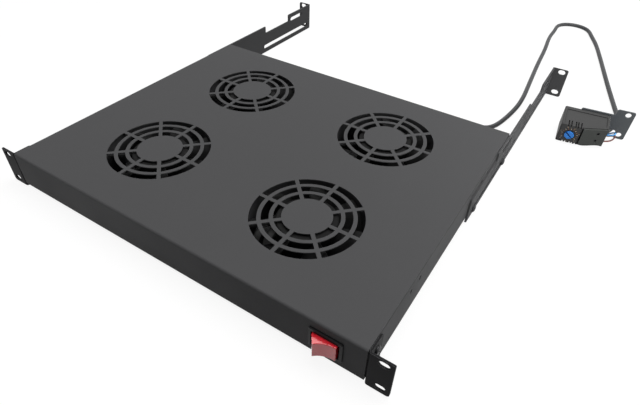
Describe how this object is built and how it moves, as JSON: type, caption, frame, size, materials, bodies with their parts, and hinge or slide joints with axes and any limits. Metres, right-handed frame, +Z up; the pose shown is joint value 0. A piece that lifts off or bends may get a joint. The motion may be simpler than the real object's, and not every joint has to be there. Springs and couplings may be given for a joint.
{
  "type": "rack fan unit",
  "caption": "One-unit rack fan tray: flat steel housing with ring-grilled axial fans, lit rocker switch, rail ears, sliding rear arms and a cabled thermostat.",
  "frame": {"origin": "centre of the four slots of the front ears, on the plane where the ears meet the rack's rails", "axes": "+X to the right seen from the front, +Y from the front panel to the back, +Z up"},
  "size_m": [0.5833, 0.9129, 0.0444],
  "materials": {
    "powder_coat": "matt fine-textured black powder coat on steel",
    "cast_frame": "black enamel on die-cast aluminium",
    "rotor_plastic": "matt black glass-filled plastic",
    "bright_steel": "plated steel",
    "bearing_bronze": "sintered bronze",
    "stator_core": "laminated core with windings",
    "black_screws": "black zinc on steel",
    "switch_black": "satin black plastic",
    "rocker_red": "clear red gloss plastic",
    "inlet_black": "satin black plastic",
    "gland_black": "black nylon",
    "cable_grey": "dark grey PVC jacket",
    "wire_blue": "blue PVC",
    "wire_brown": "brown PVC",
    "case_grey": "dark grey moulded plastic",
    "dial_blue": "blue moulded plastic",
    "block_white": "off-white nylon"
  },
  "bodies": {
    "root": {"top_cover": "powder_coat", "base_tray": "powder_coat", "cover_screws": "black_screws", "fan_screws": "black_screws", "fan_nuts": "bright_steel", "front_ear_left": "powder_coat", "front_ear_right": "powder_coat", "ear_screws": "black_screws", "ear_nuts": "bright_steel", "arm_bolts": "black_screws", "arm_nuts": "bright_steel", "switch_body": "switch_black", "switch_terminals": "bright_steel", "inlet_body": "inlet_black", "inlet_pins": "bright_steel", "inlet_screws": "black_screws", "cable_gland": "gland_black", "gland_nut": "bright_steel", "thermostat_cable": "cable_grey", "cable_boot": "cable_grey", "wire_blue": "wire_blue", "wire_brown": "wire_brown", "thermostat_case": "case_grey", "terminal_cover": "case_grey", "terminal_screws": "bright_steel", "thermostat_bracket": "powder_coat", "bracket_screws": "bright_steel", "terminal_block": "block_white", "fan_frame_front_left": "cast_frame", "fan_bearings_front_left": "bearing_bronze", "fan_stator_front_left": "stator_core", "fan_frame_front_right": "cast_frame", "fan_bearings_front_right": "bearing_bronze", "fan_stator_front_right": "stator_core", "fan_frame_rear_left": "cast_frame", "fan_bearings_rear_left": "bearing_bronze", "fan_stator_rear_left": "stator_core", "fan_frame_rear_right": "cast_frame", "fan_bearings_rear_right": "bearing_bronze", "fan_stator_rear_right": "stator_core"},
    "rotor_front_left": {"fan_rotor_front_left": "rotor_plastic", "fan_shaft_front_left": "bright_steel"},
    "rotor_front_right": {"fan_rotor_front_right": "rotor_plastic", "fan_shaft_front_right": "bright_steel"},
    "rotor_rear_left": {"fan_rotor_rear_left": "rotor_plastic", "fan_shaft_rear_left": "bright_steel"},
    "rotor_rear_right": {"fan_rotor_rear_right": "rotor_plastic", "fan_shaft_rear_right": "bright_steel"},
    "arm_left": {"rear_arm_left": "powder_coat"},
    "arm_right": {"rear_arm_right": "powder_coat"},
    "rocker": {"switch_rocker": "rocker_red"},
    "dial": {"thermostat_dial": "dial_blue"}
  },
  "joints": [
    {"name": "spin_front_left", "type": "hinge", "parent": "root", "child": "rotor_front_left", "pos_m": [-0.099, 0.09575, 0], "axis": [0, 0, 1], "continuous": true},
    {"name": "spin_front_right", "type": "hinge", "parent": "root", "child": "rotor_front_right", "pos_m": [0.099, 0.09575, 0], "axis": [0, 0, 1], "continuous": true},
    {"name": "spin_rear_left", "type": "hinge", "parent": "root", "child": "rotor_rear_left", "pos_m": [-0.099, 0.26025, 0], "axis": [0, 0, 1], "continuous": true},
    {"name": "spin_rear_right", "type": "hinge", "parent": "root", "child": "rotor_rear_right", "pos_m": [0.099, 0.26025, 0], "axis": [0, 0, 1], "continuous": true},
    {"name": "arm_left_slide", "type": "slide", "parent": "root", "child": "arm_left", "axis": [0, 1, 0], "range_m": [-0.055, 0]},
    {"name": "arm_right_slide", "type": "slide", "parent": "root", "child": "arm_right", "axis": [0, 1, 0], "range_m": [-0.055, 0]},
    {"name": "switch_rock", "type": "hinge", "parent": "root", "child": "rocker", "pos_m": [0.1825, -0.002, 0.0016], "axis": [0, 0, 1], "range_deg": [-40, 0]},
    {"name": "dial_turn", "type": "hinge", "parent": "root", "child": "dial", "pos_m": [0.27776, 0.45304, -0.00937], "axis": [0.1212, -0.9871, -0.1045], "range_deg": [-135, 135]}
  ]
}
